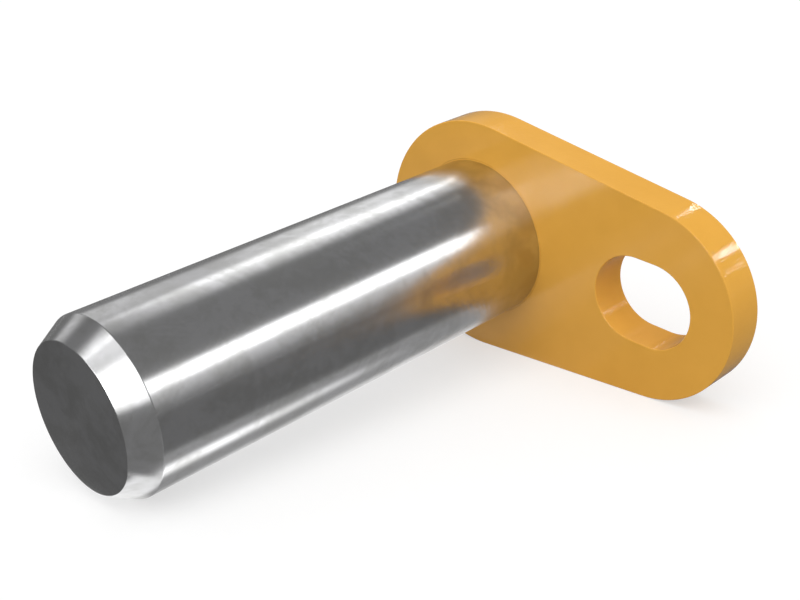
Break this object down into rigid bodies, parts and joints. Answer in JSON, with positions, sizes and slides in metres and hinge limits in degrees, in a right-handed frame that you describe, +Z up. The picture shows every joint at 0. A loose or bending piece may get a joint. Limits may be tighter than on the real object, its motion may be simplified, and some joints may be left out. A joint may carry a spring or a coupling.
{
  "type": "linkage pin",
  "caption": "Ground steel linkage pin with a chamfered tip, welded into a painted flag plate that has a slotted retaining hole.",
  "frame": {"origin": "centre of the shank's seat, where its axis meets the flag's front face", "axes": "the part lies at rest: +Z up, -Y towards the tip along the shank, whose axis dips 5.15 degrees so that the tip touches the floor, and +X towards the slotted end of the flag, whose lower straight side lies level on the floor"},
  "size_m": [0.1036, 0.131, 0.0607],
  "materials": {
    "ground_steel": "ground, polished and hard-chromed, with faint cloudy smudges",
    "flag_enamel": "orange-yellow gloss enamel with a fine orange peel"
  },
  "bodies": {
    "root": {"shank": "ground_steel", "flag_plate": "flag_enamel", "weld_bead": "flag_enamel"}
  },
  "joints": []
}
